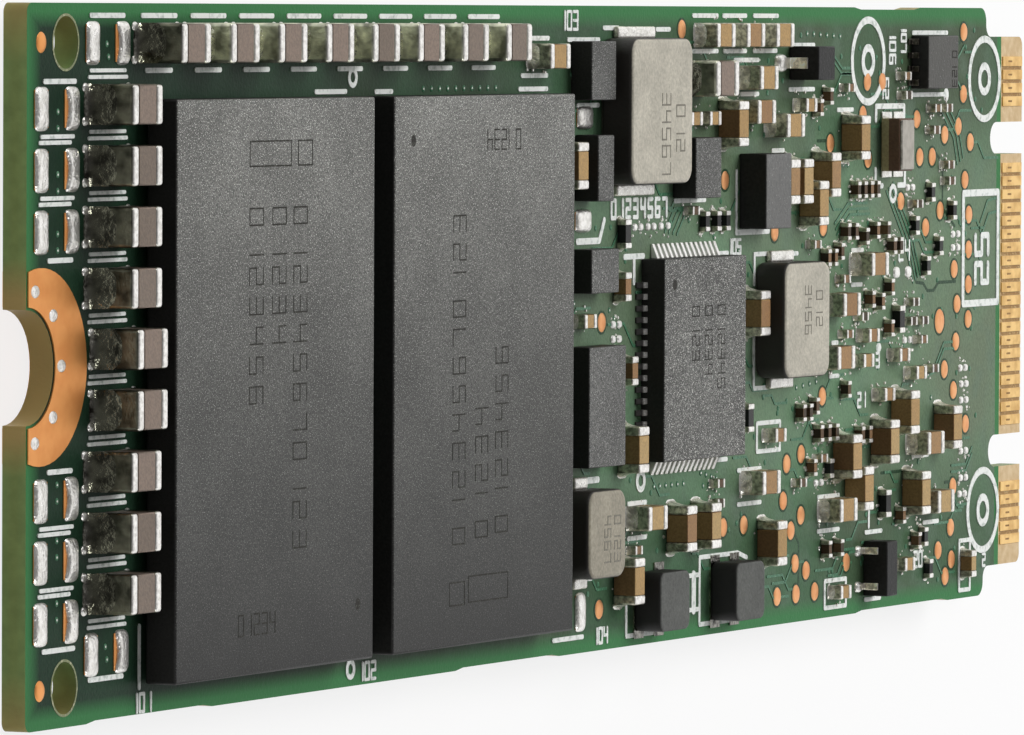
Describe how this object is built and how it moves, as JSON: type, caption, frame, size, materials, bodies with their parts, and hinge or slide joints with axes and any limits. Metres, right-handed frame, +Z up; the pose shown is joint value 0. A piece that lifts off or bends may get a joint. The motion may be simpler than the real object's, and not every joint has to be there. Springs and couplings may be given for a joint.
{
  "type": "solid state drive module",
  "caption": "Slim green circuit card with flash memory packages on both faces, a half-round screw notch at one end and keyed gold edge contacts at the other.",
  "frame": {"origin": "under the middle of the card, on the plane that the packages on its back rest on", "axes": "+X along the card from the screw notch to the edge contacts, +Y across the card, +Z up out of the front face"},
  "size_m": [0.08, 0.022, 0.0034],
  "materials": {
    "solder_mask": "green solder mask over glass laminate",
    "copper": "bare copper, satin",
    "gold": "gold plate, satin",
    "solder": "reflowed solder",
    "tinned_metal": "tin plate, satin",
    "flash_mould": "moulded epoxy, fine grain",
    "chip_mould": "moulded epoxy, coarse grain",
    "brown_ceramic": "fired ceramic, satin",
    "tan_ceramic": "fired ceramic, satin",
    "black_ceramic": "glazed black coat",
    "inductor_moulding": "pale coated top, dark sides",
    "ferrite": "matt dark ferrite"
  },
  "bodies": {
    "root": {"circuit_board": "solder_mask", "mounting_land_front": "copper", "mounting_land_back": "copper", "test_points": "copper", "fiducial_dots": "copper", "edge_contacts_front": "gold", "edge_contacts_back": "gold", "bare_solder_lands": "solder", "spare_solder_lands": "solder", "filter_inductor_lands": "solder", "oscillator_lands": "solder", "bulk_capacitor_terminals": "tinned_metal", "ceramic_capacitor_terminals": "tinned_metal", "small_capacitor_terminals": "tinned_metal", "tiny_capacitor_terminals": "tinned_metal", "oscillator_lid": "tinned_metal", "back_capacitor_terminals": "tinned_metal", "chip_resistor_terminals": "tinned_metal", "large_inductor_terminals": "tinned_metal", "medium_inductor_terminals": "tinned_metal", "small_inductor_terminals": "tinned_metal", "power_chip_terminals": "tinned_metal", "sensor_chip_leads": "tinned_metal", "protection_diode_leads": "tinned_metal", "small_transistor_leads": "tinned_metal", "flash_package_front_1": "flash_mould", "flash_package_front_2": "flash_mould", "flash_package_back_1": "flash_mould", "flash_package_back_2": "flash_mould", "drive_controller": "flash_mould", "working_memory": "flash_mould", "power_chip": "chip_mould", "regulator_chip_1": "chip_mould", "regulator_chip_2": "chip_mould", "regulator_chip_3": "chip_mould", "regulator_chip_4": "chip_mould", "regulator_chip_5": "chip_mould", "switching_transistor": "chip_mould", "sensor_chip": "chip_mould", "protection_diode": "chip_mould", "small_transistor": "chip_mould", "bulk_capacitor_bodies": "brown_ceramic", "oscillator_case": "brown_ceramic", "ceramic_capacitor_bodies": "tan_ceramic", "small_capacitor_bodies": "tan_ceramic", "tiny_capacitor_bodies": "tan_ceramic", "back_capacitor_bodies": "tan_ceramic", "chip_resistor_bodies": "black_ceramic", "large_inductor": "inductor_moulding", "medium_inductor": "inductor_moulding", "small_inductor": "inductor_moulding", "filter_inductor_1": "ferrite", "filter_inductor_2": "ferrite"}
  },
  "joints": []
}
